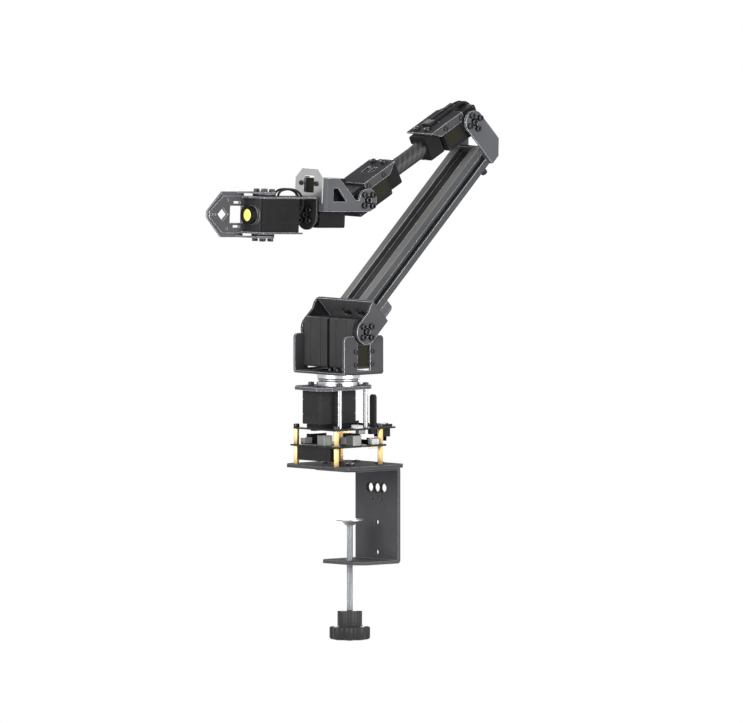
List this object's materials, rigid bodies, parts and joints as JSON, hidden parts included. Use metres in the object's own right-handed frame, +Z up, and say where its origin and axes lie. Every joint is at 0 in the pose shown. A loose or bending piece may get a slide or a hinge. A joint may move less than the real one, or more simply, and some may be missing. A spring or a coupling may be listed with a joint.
{
  "type": "desktop robot arm",
  "caption": "Table-clamped robot arm: boards and a yaw servo below a turning head, a long extruded upper arm, a tube forearm, a rolling wrist and a plate gripper with a lamp.",
  "frame": {"origin": "on the yaw axis, in the plane of the table top that the clamp's upper lip rests on", "axes": "+X the arm's forward side, +Y its left, +Z up along the yaw axis"},
  "size_m": [0.3287, 0.0836, 0.4873],
  "materials": {
    "black_sheet": "dark anodised",
    "clamp_paint": "satin black",
    "servo_case": "fine matt",
    "extrusion": "satin anodised",
    "horn": "satin anodised",
    "screw": "black oxide",
    "post": "turned",
    "pillar": "turned",
    "board": "solder mask",
    "can": "tinned",
    "connector": "moulded",
    "module": "moulded",
    "switch": "moulded",
    "rocker": "moulded",
    "bearing": "ground",
    "cage": "pressed",
    "tube": "woven carbon",
    "clamp_block": "moulded",
    "bright_plate": "bright",
    "lead": "sheathed",
    "lamp": "ribbed",
    "lens": "clear tinted",
    "rod": "zinc plated",
    "knob": "moulded"
  },
  "bodies": {
    "base": {"clamp_bracket": "clamp_paint", "base_plate": "black_sheet", "base_screws": "screw", "board_posts": "post", "driver_board": "board", "shield_cans": "can", "board_connectors": "connector", "power_module": "module", "power_board": "board", "switch_body": "switch", "antenna": "switch", "servo_spacer": "servo_case", "base_servo": "servo_case", "deck_pillars": "pillar", "deck": "black_sheet", "lower_race": "bearing"},
    "rocker": {"switch_rocker": "rocker"},
    "bearing_ring": {"bearing_cage": "cage", "bearing_balls": "bearing"},
    "head": {"upper_race": "bearing", "base_horn": "horn", "yaw_coupling": "horn", "head_bracket": "black_sheet", "head_screws": "screw", "left_shoulder_servo": "servo_case", "right_shoulder_servo": "servo_case"},
    "upper_arm": {"arm_horns": "horn", "arm_screws": "screw", "shoulder_bracket": "black_sheet", "arm_extrusion": "extrusion", "rear_brace": "black_sheet", "elbow_bracket": "black_sheet"},
    "forearm": {"elbow_servo": "servo_case", "elbow_cover": "black_sheet", "elbow_tube_clamp": "clamp_block", "carbon_tube": "tube", "wrist_tube_clamp": "clamp_block", "wrist_servo": "servo_case", "wrist_cover": "black_sheet", "cover_screws": "screw", "elbow_leads": "lead"},
    "wrist": {"wrist_horns": "horn", "wrist_fork": "black_sheet", "wrist_screws": "screw", "roll_servo": "servo_case", "roll_plate": "bright_plate"},
    "hand": {"roll_horn": "horn", "roll_screws": "screw", "hand_cradle": "black_sheet", "gripper_servo": "servo_case", "lamp_plate": "black_sheet", "lamp_body": "lamp", "lamp_lens": "lens", "gripper_leads": "lead"},
    "jaw": {"jaw_horns": "horn", "moving_jaw": "black_sheet", "jaw_screws": "screw"},
    "clamp_foot": {"clamp_pad": "rod"},
    "clamp_screw": {"clamp_rod": "rod", "clamp_knob": "knob"}
  },
  "joints": [
    {"name": "base_yaw", "type": "hinge", "parent": "base", "child": "head", "pos_m": [0, 0, 0.0782], "axis": [0, 0, 1], "range_deg": [-180, 180]},
    {"name": "cage_turn", "type": "hinge", "parent": "base", "child": "bearing_ring", "pos_m": [0, 0, 0.0837], "axis": [0, 0, 1], "range_deg": [-90, 90]},
    {"name": "shoulder", "type": "hinge", "parent": "head", "child": "upper_arm", "pos_m": [0, 0, 0.1287], "axis": [0, 1, 0], "range_deg": [-43.6, 110]},
    {"name": "elbow", "type": "hinge", "parent": "upper_arm", "child": "forearm", "pos_m": [-0.14773, 0, 0.31288], "axis": [0, 1, 0], "range_deg": [-221, 16.9]},
    {"name": "wrist_pitch", "type": "hinge", "parent": "forearm", "child": "wrist", "pos_m": [-0.01719, 0, 0.24751], "axis": [0, -1, 0], "range_deg": [-52, 60.7]},
    {"name": "wrist_roll", "type": "hinge", "parent": "wrist", "child": "hand", "pos_m": [-0.0165, 0, 0.23293], "axis": [0.9989, 0, 0.0471], "range_deg": [-180, 180]},
    {"name": "grip", "type": "hinge", "parent": "hand", "child": "jaw", "pos_m": [0.09188, 0, 0.23804], "axis": [0.0471, 0, -0.9989], "range_deg": [0, 90]},
    {"name": "clamp_travel", "type": "slide", "parent": "base", "child": "clamp_foot", "axis": [0, 0, 1], "range_m": [-0.032, 0.042]},
    {"name": "knob_turn", "type": "hinge", "parent": "clamp_foot", "child": "clamp_screw", "pos_m": [-0.014, 0, -0.0448], "axis": [0, 0, 1], "range_deg": [-11520, 15120]},
    {"name": "rocker_tilt", "type": "hinge", "parent": "base", "child": "rocker", "pos_m": [-0.0365, 0.019, 0.03895], "axis": [0, 1, 0], "range_deg": [-10, 10]}
  ],
  "couplings": [
    {"joint": "cage_turn", "follows": "base_yaw", "ratio": 0.5},
    {"joint": "clamp_travel", "follows": "knob_turn", "m_per_rad": 0.00015915}
  ]
}
